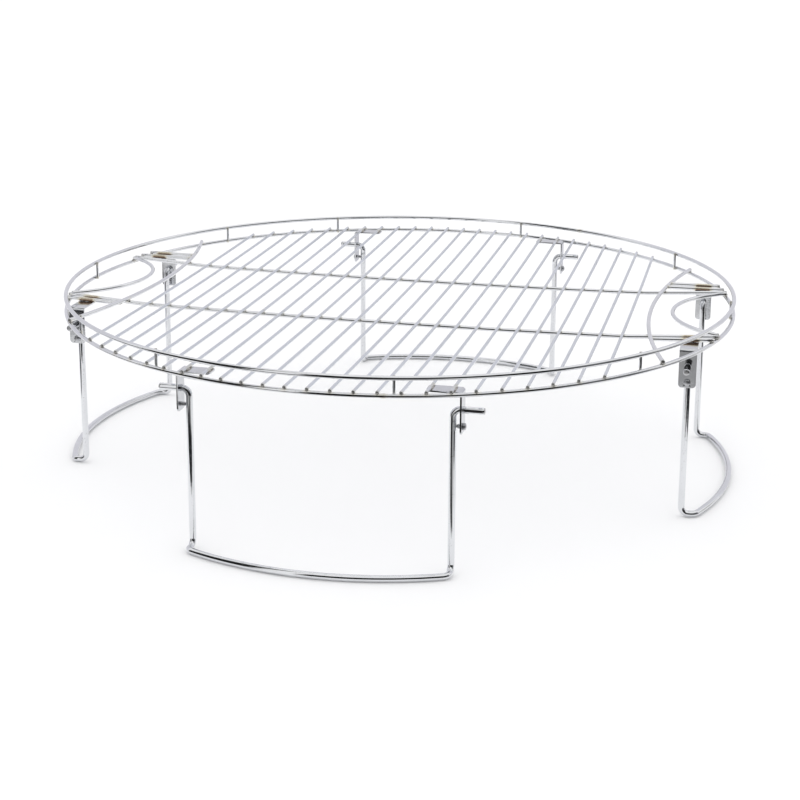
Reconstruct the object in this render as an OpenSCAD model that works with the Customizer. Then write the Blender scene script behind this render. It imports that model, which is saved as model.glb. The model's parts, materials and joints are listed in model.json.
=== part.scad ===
/* [Rim] */
// Diameter of the round rim, across the centre lines of its wire
rack_d = 500; // [480:5:520]
// Thickness of the wire of both rings, the cross bars, the side arcs and the hand loops
rim_wire = 3; // [2.8:0.1:3.2]
// Height of the lower ring's centre line above the worktop
rim_h = 123; // [110:1:135]
// Distance from the lower ring up to the upper ring
rail_rise = 11.5; // [9:0.5:18]
// Thickness of the posts between the two rings
post_wire = 2; // [1.6:0.2:2.4]
// How far a post's ends stand past the two rings
post_end = 1.2; // [0.4:0.2:2]

/* [Grid] */
// Number of parallel grid bars, always odd, so that one lies on the middle line
bar_count = 25; // [23:2:25]
// Distance between neighbouring grid bars
bar_pitch = 14.7; // [14:0.1:14.8]
// Thickness of a grid bar
bar_wire = 2.2; // [1.8:0.1:2.6]
// How far the middle of the grid hangs below its ends
grid_sag = 3.25; // [2.5:0.25:4]
// How far a wire's cut end passes the centre line of the ring that carries it
end_over = 1.2; // [0.6:0.1:1.4]
// How deep two crossing wires sink into each other where they are welded
weld_sink = 0.25; // [0.1:0.05:0.3]

/* [Side wires] */
// Distance of each long cross bar from the middle line
cross_y = 65.3; // [65:0.1:66]
// Distance of each side arc's ends from the middle line
arc_end_y = 136; // [134:1:138]
// How far each side arc bows in from its ends
arc_bow = 19.3; // [18.5:0.1:20.5]
// Half the width of a hand loop where it meets the ring
loop_end_y = 61.6; // [60:0.1:61.8]
// How far a hand loop reaches in from its ends
loop_depth = 36; // [32:1:37]
// Distance of each side's front short bar from the middle line
front_short_y = 75; // [74:0.5:76]
// Distance of each side's first back short bar from the middle line
back_short_y = 73.5; // [72.5:0.5:74.5]
// Distance between the two back short bars of a side
short_pitch = 11; // [10:0.5:12]

/* [Legs] */
// Thickness of the leg wire
leg_wire = 4.5; // [4:0.1:4.6]
// Distance of each hinge axis from the centre of the rack
hinge_r = 224; // [223:0.5:225]
// How far the hinge axis lies below the lower ring
hinge_drop = 12; // [11.5:0.25:12.5]
// Half the distance between a leg's two upright wires
leg_half = 87.5; // [87:0.5:88]
// Centre line radius of the bends at a leg's top and foot
leg_bend = 5; // [4.8:0.1:5.2]
// Centre line radius of the foot
foot_r = 205; // [200:1:215]
// How far from the rack's centre the middle of each foot reaches
foot_reach = 253; // [252.5:0.5:254]
// Centre line radius of the bends at the foot's two ends
toe_bend = 5; // [4.5:0.5:6]
// How far from the leg's middle a hinge pin's free end is
pin_reach = 108; // [104:1:110]
// Radial clearance of a hinge pin in its hole
pin_play = 0.08; // [0.05:0.01:0.1]

/* [Hinge brackets] */
// Thickness of the bracket sheet
sheet = 1.2; // [1:0.1:1.4]
// Width of a bracket
bracket_w = 12; // [11:0.5:13]
// Distance of a bracket plate's outer face from the leg's middle
plate_out = 94.1; // [94:0.1:94.4]
// How far below the lower ring a bracket plate ends
plate_drop = 27; // [26.5:0.5:29]
// Distance of a flange's free end from the leg's middle
flange_in = 71; // [70:0.5:71.5]
// The same for the front brackets of the left and right legs, which reach under the cross bar
long_flange_in = 64.5; // [63:0.5:65]
// Inside radius of the bracket's bend
bend_in = 0.8; // [0.6:0.1:1]
// Radius of the bracket's rounded corners
corner_r = 2.5; // [1:0.5:3]
// How far the stop rivet lies below the hinge axis
rivet_drop = 11; // [10.5:0.5:11.5]
// Radius of the stop rivet's shank
rivet_r = 1.5; // [1.2:0.1:1.7]
// Radius of the stop rivet's head
rivet_head_r = 2.3; // [2.1:0.1:2.6]
// Gap between the stop rivet's tip and the leg wire
rivet_gap = 0.15; // [0.1:0.05:0.3]

/* [Hidden] */

chrome = "gainsboro";
bar_chrome = "lightsteelblue";
zinc = "silver";
round_fn = 48;
long_arc_fn = 256;

rack_r = rack_d / 2;
rim_r = rim_wire / 2;
bar_r = bar_wire / 2;
post_r = post_wire / 2;
leg_r = leg_wire / 2;

// A bend is this much thicker than its straight runs, as a bent wire is, and each run laps into it.
bend_swell = 0.02;
bend_lap = 0.2;

// Posts, by their angle from the right end; each also stands mirrored across the middle line.
post_angles = [37.5, 77.5, 116.5, 141];

// Closing weld of each ring: a short collar, by its angle, its length in degrees and its height.
lower_weld_a = -79.3;
upper_weld_a = 64;
collar_a = 0.5;
collar_swell = 0.25;

// A bar's circle is that of a shallow dish which is grid_sag deep at the middle of the rim.
sag_r = rack_r * rack_r / (2 * grid_sag);

// Heights above the lower ring's centre line of what rests on top of the ring
bar_seat = rim_r + bar_r - weld_sink;
wire_seat = 2 * rim_r - weld_sink;

// The cross bars hang under the grid, bend at a knee, and run straight up to the top of the ring.
cross_knee_x = 167;
knee_lead = 12;
knee_bend = 300;
cross_end_x = sqrt(pow(rack_r + end_over, 2) - cross_y * cross_y);
cross_mid_z = bar_seat - grid_sag * (1 - pow(cross_y / rack_r, 2)) - rim_r - bar_r + weld_sink;
knee_a = asin(cross_knee_x / sag_r);
corner_x = cross_knee_x + knee_lead * cos(knee_a);
corner_z = cross_mid_z + sag_r * (1 - cos(knee_a)) + knee_lead * sin(knee_a);
end_a = atan((wire_seat - corner_z) / (cross_end_x - corner_x));
end_line = norm([cross_end_x - corner_x, wire_seat - corner_z]);
knee_setback = knee_bend * tan((end_a - knee_a) / 2);

// Height of a cross bar's centre line over the ring's, at x past the knee
function cross_z(x) = corner_z + (x - corner_x) * tan(end_a);

// Side arcs: circles whose ends lie on the ring, tipped down to rest on the cross bars.
arc_end_x = sqrt(rack_r * rack_r - arc_end_y * arc_end_y);
arc_r = (arc_end_y * arc_end_y + arc_bow * arc_bow) / (2 * arc_bow);
arc_half_a = asin((arc_end_y + end_over) / arc_r);
function arc_x(y) = arc_end_x - arc_bow + arc_r - sqrt(arc_r * arc_r - y * y);
arc_cross_x = arc_x(cross_y);
arc_cross_z = cross_z(arc_cross_x) + 2 * rim_r - weld_sink;
arc_tip = atan((wire_seat - arc_cross_z) / (arc_end_x - arc_cross_x));
function arc_z(y) = wire_seat - (arc_end_x - arc_x(y)) * tan(arc_tip);

// Hand loops: circles through their two ends on the ring and their innermost point
loop_end_x = sqrt(rack_r * rack_r - loop_end_y * loop_end_y);
loop_r = (loop_end_y * loop_end_y + loop_depth * loop_depth) / (2 * loop_depth);
loop_half_a = asin(loop_end_y / loop_r);

// The legs: the foot is a little more bowed than the rim, and a short run joins it to each toe bend.
hinge_z = rim_h - hinge_drop;
foot_z = leg_r + bend_swell;
toe_run = 1;
foot_half_a = asin((leg_half - toe_bend) / norm([foot_r - toe_bend, toe_run]))
    - atan(toe_run / (foot_r - toe_bend));
toe_out = foot_reach - foot_r + (foot_r - toe_bend) * cos(foot_half_a) - toe_run * sin(foot_half_a)
    - hinge_r - leg_bend;

// The front short bars meet the side arcs this much lower, so that their brackets reach two wires.
short_drop = 1.6;

// Heights of the bracket flanges' top faces over the ring's centre line, where they meet the wires:
// under the grid bars, under the back short bars, and under a cross bar and a front short bar
bar_flange_z = 1.1;
back_flange_z = 1.3;
front_flange_z = 0.55;
bend_steps = 10;

// A bent wire. Each step is [roll before it, straight run, bend radius, bend angle].
module bent_wire(r, steps, i = 0) {
    if (i < len(steps)) {
        roll = steps[i][0];
        run = steps[i][1];
        bend = steps[i][2];
        turn = steps[i][3];
        behind = i > 0 ? bend_lap : 0;
        ahead = turn > 0 ? bend_lap : 0;
        rotate([roll, 0, 0]) {
            translate([-behind, 0, 0])
                rotate([0, 90, 0])
                    cylinder(h = behind + run + ahead, r = r, $fn = round_fn);
            if (turn > 0)
                translate([run, bend, 0])
                    rotate([0, 0, -90])
                        rotate_extrude(angle = turn, $fn = bend > foot_r / 2 ? long_arc_fn : round_fn)
                            translate([bend, 0])
                                circle(r = r + bend_swell, $fn = round_fn);
            translate([run, bend, 0])
                rotate([0, 0, turn])
                    translate([0, -bend, 0])
                        bent_wire(r, steps, i + 1);
        }
    }
}

// Part of a ring of wire, in the XY plane around the origin
module wire_arc(ring, r, from, angle) {
    rotate([0, 0, from])
        rotate_extrude(angle = angle, $fn = long_arc_fn)
            translate([ring, 0])
                circle(r = r, $fn = round_fn);
}

// A straight wire from point a to point b
module straight_wire(a, b, r) {
    d = b - a;
    translate(a)
        rotate([0, acos(d[2] / norm(d)), atan2(d[1], d[0])])
            cylinder(h = norm(d), r = r, $fn = round_fn);
}

// A wire along Y whose ends lie at height 0 and whose middle hangs down
module hanging_wire(half, r) {
    a = asin(half / sag_r);
    translate([0, 0, sag_r * cos(a)])
        rotate([90, 0, 90])
            wire_arc(sag_r, r, -90 - a, 2 * a);
}

module closed_ring(weld_a) {
    wire_arc(rack_r, rim_r, 0, 360);
    wire_arc(rack_r, rim_r + collar_swell, weld_a, collar_a);
}

module lower_ring() {
    color(chrome)
        translate([0, 0, rim_h])
            closed_ring(lower_weld_a);
}

module upper_ring() {
    color(chrome)
        translate([0, 0, rim_h + rail_rise])
            closed_ring(upper_weld_a);
}

module post(angle) {
    rotate([0, 0, angle])
        translate([rack_r - rim_r - post_r + weld_sink, 0, rim_h - post_end])
            cylinder(h = rail_rise + 2 * post_end, r = post_r, $fn = round_fn);
}

module rail_posts() {
    color(chrome) {
        post(0);
        post(180);
        for (angle = post_angles, side = [-1, 1])
            post(side * angle);
    }
}

module grid_bars() {
    middle = (bar_count - 1) / 2;
    color(bar_chrome)
        for (i = [-middle : middle]) {
            x = i * bar_pitch;
            half = sqrt(rack_r * rack_r - x * x) + end_over;
            translate([x, 0, rim_h + bar_seat])
                hanging_wire(half, bar_r);
        }
}

// A cross bar for the middle line, with its ends up on the ring
module cross_bar() {
    end_run = end_line - knee_setback;
    lead_run = knee_lead - knee_setback;
    turn = end_a - knee_a;
    color(chrome)
        translate([-cross_end_x, 0, rim_h + wire_seat])
            rotate([90, end_a, 0])
                bent_wire(rim_r, [
                    [0, end_run, knee_bend, turn],
                    [0, lead_run, sag_r, 2 * knee_a],
                    [0, lead_run, knee_bend, turn],
                    [0, end_run, 0, 0]
                ]);
}

module front_cross_bar() {
    translate([0, -cross_y, 0])
        cross_bar();
}

module back_cross_bar() {
    translate([0, cross_y, 0])
        cross_bar();
}

module right_side_arc() {
    color(chrome)
        translate([arc_end_x, 0, rim_h + wire_seat])
            rotate([0, -arc_tip, 0])
                translate([arc_r - arc_bow, 0, 0])
                    wire_arc(arc_r, rim_r, 180 - arc_half_a, 2 * arc_half_a);
}

module left_side_arc() {
    mirror([1, 0, 0])
        right_side_arc();
}

module right_hand_loop() {
    color(chrome)
        translate([loop_end_x - loop_depth + loop_r, 0, rim_h + wire_seat])
            wire_arc(loop_r, rim_r, 180 - loop_half_a, 2 * loop_half_a);
}

module left_hand_loop() {
    mirror([1, 0, 0])
        right_hand_loop();
}

// A short bar on the right side, from the outside of the side arc to the top of the ring
module short_bar(y, drop = 0) {
    inner = [arc_x(y) + rim_r - 2 * weld_sink, y, rim_h + arc_z(y) - drop];
    outer = [sqrt(rack_r * rack_r - y * y) + end_over, y, rim_h + wire_seat];
    color(chrome)
        straight_wire(inner, outer, rim_r);
}

module right_front_short_bar() {
    short_bar(-front_short_y, short_drop);
}

module left_front_short_bar() {
    mirror([1, 0, 0])
        right_front_short_bar();
}

module right_back_short_bars() {
    for (y = [back_short_y, back_short_y + short_pitch])
        short_bar(y);
}

module left_back_short_bars() {
    mirror([1, 0, 0])
        right_back_short_bars();
}

// The corners of a tab that is w wide and reaches from 0 to h, with its two far corners rounded
function tab_points(w, h) = concat(
    [[-w / 2, 0], [w / 2, 0]],
    [for (i = [0 : bend_steps]) let (a = 90 * i / bend_steps)
        [w / 2 - corner_r + corner_r * cos(a), h - corner_r + corner_r * sin(a)]],
    [for (i = [0 : bend_steps]) let (a = 90 + 90 * i / bend_steps)
        [-w / 2 + corner_r + corner_r * cos(a), h - corner_r + corner_r * sin(a)]]
);

// The quarter turn between the flange and the plate, as a section in the YZ plane
function elbow_points() = concat(
    [for (i = [0 : bend_steps]) let (a = 90 * i / bend_steps)
        (bend_in + sheet) * [cos(a), sin(a)]],
    [for (i = [0 : bend_steps]) let (a = 90 - 90 * i / bend_steps)
        bend_in * [cos(a), sin(a)]]
);

// A bracket of the right leg on its +Y side. Its flange has its top face at top over the ring, and
// ends at inner from the leg's middle.
module bracket(top, inner = flange_in) {
    elbow_y = plate_out - sheet - bend_in;
    elbow_z = top - sheet - bend_in;
    pivot_r = leg_r + pin_play;
    color(zinc)
        translate([hinge_r, 0, rim_h])
            difference() {
                union() {
                    translate([-bracket_w / 2, elbow_y, elbow_z])
                        rotate([90, 0, 90])
                            linear_extrude(bracket_w)
                                polygon(elbow_points());
                    translate([0, plate_out, elbow_z])
                        rotate([90, 180, 0])
                            linear_extrude(sheet)
                                polygon(tab_points(bracket_w, plate_drop + elbow_z));
                    translate([0, elbow_y, top - sheet])
                        rotate([0, 0, 180])
                            linear_extrude(sheet)
                                polygon(tab_points(bracket_w, elbow_y - inner));
                }
                translate([0, plate_out + 1, -hinge_drop])
                    rotate([90, 0, 0])
                        cylinder(h = sheet + 2, r = pivot_r, $fn = round_fn);
                translate([0, plate_out + 1, -hinge_drop - rivet_drop])
                    rotate([90, 0, 0])
                        cylinder(h = sheet + 2, r = rivet_r, $fn = round_fn);
            }
}

module right_bracket_back() {
    bracket(back_flange_z);
}

module right_bracket_front() {
    mirror([0, 1, 0])
        bracket(front_flange_z, long_flange_in);
}

module left_bracket_back() {
    mirror([1, 0, 0])
        right_bracket_back();
}

module left_bracket_front() {
    mirror([1, 0, 0])
        right_bracket_front();
}

module front_bracket_right() {
    rotate([0, 0, -90])
        bracket(bar_flange_z);
}

module front_bracket_left() {
    mirror([1, 0, 0])
        front_bracket_right();
}

module back_bracket_right() {
    mirror([0, 1, 0])
        front_bracket_right();
}

module back_bracket_left() {
    mirror([1, 0, 0])
        back_bracket_right();
}

// A stop rivet along +Z, from its tip beside the leg wire to its head outside the plate
module stop_rivet() {
    tip = leg_half + leg_r + rivet_gap;
    tip_r = 0.6 * rivet_r;
    head_h = 2.1;
    rotate_extrude($fn = round_fn)
        polygon([
            [0, tip], [tip_r, tip], [rivet_r, tip + 0.8], [rivet_r, plate_out],
            [rivet_head_r, plate_out], [rivet_head_r, plate_out + 0.6 * head_h],
            [0.7 * rivet_head_r, plate_out + head_h], [0, plate_out + head_h]
        ]);
}

// The two stop rivets of the right leg
module stop_rivet_pair() {
    color(zinc)
        for (side = [-1, 1])
            translate([hinge_r, 0, hinge_z - rivet_drop])
                rotate([-90 * side, 0, 0])
                    stop_rivet();
}

module right_stop_rivets() {
    stop_rivet_pair();
}

module back_stop_rivets() {
    rotate([0, 0, 90])
        stop_rivet_pair();
}

module left_stop_rivets() {
    rotate([0, 0, 180])
        stop_rivet_pair();
}

module front_stop_rivets() {
    rotate([0, 0, -90])
        stop_rivet_pair();
}

// The right leg: pin, upright, foot arc, upright and pin, bent from one wire
module leg() {
    pin_run = pin_reach - leg_half - leg_bend;
    upright = hinge_z - foot_z - 2 * leg_bend;
    toe_turn = 90 - foot_half_a;
    color(chrome)
        translate([hinge_r, pin_reach, hinge_z])
            rotate([-90, 0, -90])
                bent_wire(leg_r, [
                    [0, pin_run, leg_bend, 90],
                    [90, upright, leg_bend, 90],
                    [90, toe_out, toe_bend, toe_turn],
                    [0, toe_run, foot_r, 2 * foot_half_a],
                    [0, toe_run, toe_bend, toe_turn],
                    [-90, toe_out, leg_bend, 90],
                    [-90, upright, leg_bend, 90],
                    [0, pin_run, 0, 0]
                ]);
}

module right_leg() {
    leg();
}

module back_leg() {
    rotate([0, 0, 90])
        leg();
}

module left_leg() {
    rotate([0, 0, 180])
        leg();
}

module front_leg() {
    rotate([0, 0, -90])
        leg();
}

lower_ring();
upper_ring();
rail_posts();
grid_bars();
front_cross_bar();
back_cross_bar();
left_side_arc();
right_side_arc();
left_hand_loop();
right_hand_loop();
left_front_short_bar();
right_front_short_bar();
left_back_short_bars();
right_back_short_bars();
front_bracket_left();
front_bracket_right();
back_bracket_left();
back_bracket_right();
left_bracket_front();
left_bracket_back();
right_bracket_front();
right_bracket_back();
front_stop_rivets();
back_stop_rivets();
left_stop_rivets();
right_stop_rivets();
front_leg();
back_leg();
left_leg();
right_leg();
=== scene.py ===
import json
import math

import bmesh
import bpy
import numpy as np
from mathutils import Matrix, Vector


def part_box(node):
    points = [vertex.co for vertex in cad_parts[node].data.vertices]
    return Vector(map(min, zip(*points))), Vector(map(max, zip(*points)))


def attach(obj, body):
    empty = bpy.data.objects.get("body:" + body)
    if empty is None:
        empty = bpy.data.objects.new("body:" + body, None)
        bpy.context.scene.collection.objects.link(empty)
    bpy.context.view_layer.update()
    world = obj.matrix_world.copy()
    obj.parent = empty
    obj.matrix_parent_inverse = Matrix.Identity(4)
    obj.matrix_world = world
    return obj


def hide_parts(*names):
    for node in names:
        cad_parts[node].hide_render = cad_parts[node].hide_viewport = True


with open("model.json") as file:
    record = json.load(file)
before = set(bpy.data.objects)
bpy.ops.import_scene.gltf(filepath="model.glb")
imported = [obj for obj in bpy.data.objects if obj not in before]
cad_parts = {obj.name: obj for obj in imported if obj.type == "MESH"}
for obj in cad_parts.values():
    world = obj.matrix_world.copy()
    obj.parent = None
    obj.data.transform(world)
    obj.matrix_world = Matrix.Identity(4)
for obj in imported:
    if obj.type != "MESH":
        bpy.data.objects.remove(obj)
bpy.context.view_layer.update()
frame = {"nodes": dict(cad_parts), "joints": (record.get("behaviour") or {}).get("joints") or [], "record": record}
rng = np.random.default_rng(7)

# ---------------------------------------------------------------- sizes, in metres

# Wire radii: the grid bars, the posts and the legs
BAR_R = 0.0011
POST_R = 0.0010
LEG_R = 0.00225

# How far wires sink into each other at a weld, and how far their ends stand out past the rings' middle
WELD_SINK = 0.00025
END_OVER = 0.0012

# The rings, and the radius of their wire, which the cross bars, side arcs, hand loops and short bars share
loop_low, loop_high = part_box("right_hand_loop")
RIM_R = (loop_high.z - loop_low.z) / 2
RACK_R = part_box("upper_ring")[1].x - RIM_R


def middle_z(node):
    low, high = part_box(node)
    return (low.z + high.z) / 2


LOWER_Z = middle_z("lower_ring")
UPPER_Z = middle_z("upper_ring")
WIRE_SEAT_Z = LOWER_Z + 2 * RIM_R - WELD_SINK
BAR_SEAT_Z = LOWER_Z + RIM_R + BAR_R - WELD_SINK

# The grid: parallel bars that hang in a shallow dish of one radius
BAR_SIDE_COUNT = 12
grid_low, grid_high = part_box("grid_bars")
BAR_PITCH = (grid_high.x - BAR_R) / BAR_SIDE_COUNT
SAG_DEPTH = BAR_SEAT_Z - (grid_low.z + BAR_R)
SAG_R = (RACK_R + END_OVER) ** 2 / (2 * SAG_DEPTH)

# The cross bars: a hanging arc, a knee, and a straight run up to the ring
CROSS_KNEE_X = 0.167
KNEE_LEAD = 0.012
KNEE_BEND = 0.3
cross_low, cross_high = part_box("back_cross_bar")
CROSS_Y = (cross_low.y + cross_high.y) / 2
CROSS_MID_Z = cross_low.z + RIM_R
CROSS_END_X = math.sqrt((RACK_R + END_OVER) ** 2 - CROSS_Y ** 2)
KNEE_A = math.asin(CROSS_KNEE_X / SAG_R)
CORNER_X = CROSS_KNEE_X + KNEE_LEAD * math.cos(KNEE_A)
CORNER_Z = CROSS_MID_Z + SAG_R * (1 - math.cos(KNEE_A)) + KNEE_LEAD * math.sin(KNEE_A)
END_A = math.atan2(WIRE_SEAT_Z - CORNER_Z, CROSS_END_X - CORNER_X)

# The side arcs, bowed in from their ends on the ring and tipped to rest on the cross bars
ARC_END_Y = 0.136
ARC_END_X = math.sqrt(RACK_R ** 2 - ARC_END_Y ** 2)
ARC_BOW = 0.0193
ARC_R = (ARC_END_Y ** 2 + ARC_BOW ** 2) / (2 * ARC_BOW)

# The hand loops
LOOP_END_Y = 0.0616
LOOP_END_X = math.sqrt(RACK_R ** 2 - LOOP_END_Y ** 2)
LOOP_DEPTH = LOOP_END_X - (loop_low.x + RIM_R)
LOOP_R = (LOOP_END_Y ** 2 + LOOP_DEPTH ** 2) / (2 * LOOP_DEPTH)

# Short bars: where they lie along y, and how far the front ones drop where they meet the side arcs
front_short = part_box("right_front_short_bar")
back_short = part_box("right_back_short_bars")
SHORT_YS = {
    "front": [(front_short[0].y + front_short[1].y) / 2],
    "back": [back_short[0].y + RIM_R, back_short[1].y - RIM_R],
}
FRONT_SHORT_DROP = 0.0016

# Legs: pins on the hinge axis, uprights, and a foot that follows the rim, lifted by a hair off the floor
FOOT_LIFT = 0.00002
right_hinge = [j["pos_m"] for j in frame["joints"] if j["child"] == "right_leg_body"][0]
HINGE_R, HINGE_Z = right_hinge[0], right_hinge[2]
LEG_HALF = 0.0875
LEG_BEND = 0.005
FOOT_R = 0.205
FOOT_REACH = 0.253
TOE_BEND = 0.005
TOE_RUN = 0.001
PIN_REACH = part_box("right_leg")[1].y
FOOT_Z = LEG_R + FOOT_LIFT

# Hinge brackets: the faces of their plates and the inner end of their flanges
PLATE_IN = 0.0929
PLATE_OUT = 0.0941
FLANGE_END = 0.071

# Stop rivets
RIVET_Z = HINGE_Z - 0.011
RIVET_R = 0.0015
RIVET_HEAD_R = 0.0023
RIVET_HEAD_H = 0.0021
RIVET_TIP = LEG_HALF + LEG_R + 0.00015

# Degrees around the rack from its right side: the posts, the rings' closing welds and the four sides
POST_ANGLES = [0, 180] + [s * a for a in (37.5, 77.5, 116.5, 141) for s in (-1, 1)]
LOWER_WELD_ANGLE = -79
UPPER_WELD_ANGLE = 64.25
SIDES = {"front": -90, "right": 0, "back": 90, "left": 180}


# ---------------------------------------------------------------- heights of the wires

def bar_half(x):
    return math.sqrt(RACK_R ** 2 - x ** 2) + END_OVER


def bar_z(x, y):
    return BAR_SEAT_Z - (bar_half(x) ** 2 - y ** 2) / (2 * SAG_R)


def cross_z(x):
    """Centre line height of a cross bar past its knee, or on its hanging arc."""
    x = abs(x)
    if x < CROSS_KNEE_X:
        return CROSS_MID_Z + x ** 2 / (2 * SAG_R)
    return CORNER_Z + (x - CORNER_X) * math.tan(END_A)


def arc_x(y):
    return ARC_END_X - ARC_BOW + ARC_R - math.sqrt(ARC_R ** 2 - y ** 2)


ARC_CROSS_X = arc_x(CROSS_Y)
ARC_CROSS_Z = cross_z(ARC_CROSS_X) + 2 * RIM_R - WELD_SINK
ARC_TIP = math.atan2(WIRE_SEAT_Z - ARC_CROSS_Z, ARC_END_X - ARC_CROSS_X)


def arc_z(y):
    return WIRE_SEAT_Z - (ARC_END_X - arc_x(y)) * math.tan(ARC_TIP)


def short_ends(y):
    """The ends of a short bar, as (x, height): against the side arc, and on top of the ring."""
    drop = FRONT_SHORT_DROP if y < 0 else 0
    inner = (arc_x(y) + RIM_R - 2 * WELD_SINK, arc_z(y) - drop)
    outer = (math.sqrt(RACK_R ** 2 - y ** 2) + END_OVER, WIRE_SEAT_Z)
    return inner, outer


def short_z(x, y):
    inner, outer = short_ends(y)
    return inner[1] + (abs(x) - inner[0]) / (outer[0] - inner[0]) * (outer[1] - inner[1])


# ---------------------------------------------------------------- mesh tools

class Skin:
    """Gathers closed surfaces for one piece: vertices, faces, texture coordinates and heat marks."""

    def __init__(self):
        self.verts = []
        self.faces = []
        self.uvs = []
        self.cut = []
        self.count = 0

    def add(self, verts, faces, uvs, cut):
        self.verts.append(np.asarray(verts, float))
        self.faces += [tuple(i + self.count for i in f) for f in faces]
        self.uvs += uvs
        self.cut.append(np.asarray(cut, float))
        self.count += len(verts)

    def build(self, name, body, material, nodes=(), hot=()):
        verts = np.concatenate(self.verts)
        mesh = bpy.data.meshes.new(name)
        mesh.from_pydata(verts.tolist(), [], self.faces)
        layer = mesh.uv_layers.new(name="wire")
        layer.data.foreach_set("uv", np.array([c for face in self.uvs for c in face], np.float32).ravel())
        # The renderer keeps the attribute name "heat" for itself
        put_attribute(mesh, "scorch", heat_at(verts, hot))
        put_attribute(mesh, "cut", np.concatenate(self.cut))
        mesh.polygons.foreach_set("use_smooth", [True] * len(mesh.polygons))
        mesh.materials.append(material)
        return place(bpy.data.objects.new(name, mesh), body, nodes)


def put_attribute(mesh, name, values):
    attribute = mesh.attributes.new(name, "FLOAT", "POINT")
    attribute.data.foreach_set("value", np.asarray(values, np.float32))


def place(obj, body, nodes=()):
    bpy.context.scene.collection.objects.link(obj)
    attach(obj, body)
    if nodes:
        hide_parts(*nodes)
    return obj


def heat_at(points, hot):
    """How strongly each point was heated by the welds near it; hot holds (place, reach, strength)."""
    heat = np.zeros(len(points))
    for spot, reach, strength in hot:
        near = np.abs(points - np.array(spot)).max(axis=1) < 3 * reach
        d = np.linalg.norm(points[near] - np.array(spot), axis=1)
        heat[near] = np.maximum(heat[near], strength * np.exp(-(d / reach) ** 2))
    return heat


def unit(v):
    v = np.asarray(v, float)
    return v / np.linalg.norm(v)


def frames_along(points, closed):
    """A direction and two side vectors at each point, carried along without twist."""
    count = len(points)
    tangents = np.empty_like(points)
    for i in range(count):
        after = points[(i + 1) % count] if closed or i < count - 1 else points[i]
        before = points[i - 1] if closed or i > 0 else points[i]
        tangents[i] = unit(after - before)
    first = np.array([0.0, 0.0, 1.0])
    if abs(tangents[0] @ first) > 0.9:
        first = np.array([1.0, 0.0, 0.0])
    side = unit(first - tangents[0] * (first @ tangents[0]))
    sides = []
    for t in tangents:
        side = unit(side - t * (side @ t))
        sides.append(side)
    sides = np.array(sides)
    return tangents, sides, np.cross(tangents, sides)


def tube(skin, points, radii, around=20, closed=False, tips=(True, True)):
    """A round wire along points. Its cut ends are slightly chamfered and crowned."""
    points = np.asarray(points, float)
    radii = np.broadcast_to(np.asarray(radii, float), len(points)).copy()
    cut = np.zeros(len(points))
    if not closed:
        points, radii, cut = with_tips(points, radii, tips)
    tangents, sides, ups = frames_along(points, closed)
    angles = np.arange(around) * 2 * math.pi / around
    ring = np.cos(angles)[:, None, None] * sides + np.sin(angles)[:, None, None] * ups
    verts = points[None] + ring * radii[None, :, None]
    verts = verts.transpose(1, 0, 2).reshape(-1, 3)
    steps = np.linalg.norm(np.diff(points, axis=0), axis=1)
    along = np.concatenate([[0], np.cumsum(steps)])
    spans = len(points) if closed else len(points) - 1
    faces, uvs = [], []
    for i in range(spans):
        j = (i + 1) % len(points)
        v0 = along[i]
        v1 = along[i + 1] if i + 1 < len(along) else along[-1] + np.linalg.norm(points[0] - points[-1])
        for k in range(around):
            m = (k + 1) % around
            faces.append((i * around + k, i * around + m, j * around + m, j * around + k))
            u0, u1 = k / around, (k + 1) / around
            uvs.append(((u0, v0), (u1, v0), (u1, v1), (u0, v1)))
    cuts = np.repeat(cut, around)
    if not closed:
        last = (len(points) - 1) * around
        for centre, base, flip in ((points[0], 0, True), (points[-1], last, False)):
            verts = np.vstack([verts, centre[None]])
            cuts = np.append(cuts, 1.0)
            hub = len(verts) - 1
            for k in range(around):
                m = (k + 1) % around
                faces.append((hub, base + m, base + k) if flip else (hub, base + k, base + m))
                uvs.append(((0.5, 0.0), (0.6, 0.0), (0.5, 0.001)))
    skin.add(verts, faces, uvs, cuts)


def with_tips(points, radii, tips):
    """Gives the chosen ends a small chamfer and a crowned face. Also says how worn each point is (0 to 1)."""
    # Distance from the end and radius, both as shares of the wire's radius, and wear
    crown = [(0.45, 1.0, 0.0), (0.22, 0.95, 0.35), (0.08, 0.82, 0.8), (0.02, 0.55, 1.0)]
    new_points, new_radii, new_cut = list(points), list(radii), [0.0] * len(points)
    for at_end in (False, True):
        if not tips[at_end]:
            continue
        end = np.array(new_points[-1 if at_end else 0])
        inner = np.array(new_points[-2 if at_end else 1])
        r = new_radii[-1 if at_end else 0]
        inward = unit(inner - end)
        tip = [(end + inward * r * back, r * share, worn) for back, share, worn in crown]
        if at_end:
            spot = slice(len(new_points) - 1, None)
        else:
            spot = slice(0, 1)
            tip.reverse()
        new_points[spot] = [t[0] for t in tip]
        new_radii[spot] = [t[1] for t in tip]
        new_cut[spot] = [t[2] for t in tip]
    return np.array(new_points), np.array(new_radii), np.array(new_cut)


def stations(start, stop, spacing, dense_at=(), reach=0.006, fine=0.0012):
    """Positions from start to stop, closer together near the places in dense_at."""
    values = list(np.linspace(start, stop, max(2, int(abs(stop - start) / spacing) + 1)))
    for centre in dense_at:
        values += [v for v in np.arange(centre - reach, centre + reach, fine) if start < v < stop]
    values = sorted(values)
    kept = [values[0]]
    for v in values[1:-1]:
        if v - kept[-1] > 0.7 * fine and values[-1] - v > 0.7 * fine:
            kept.append(v)
    return kept + [values[-1]]


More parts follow.
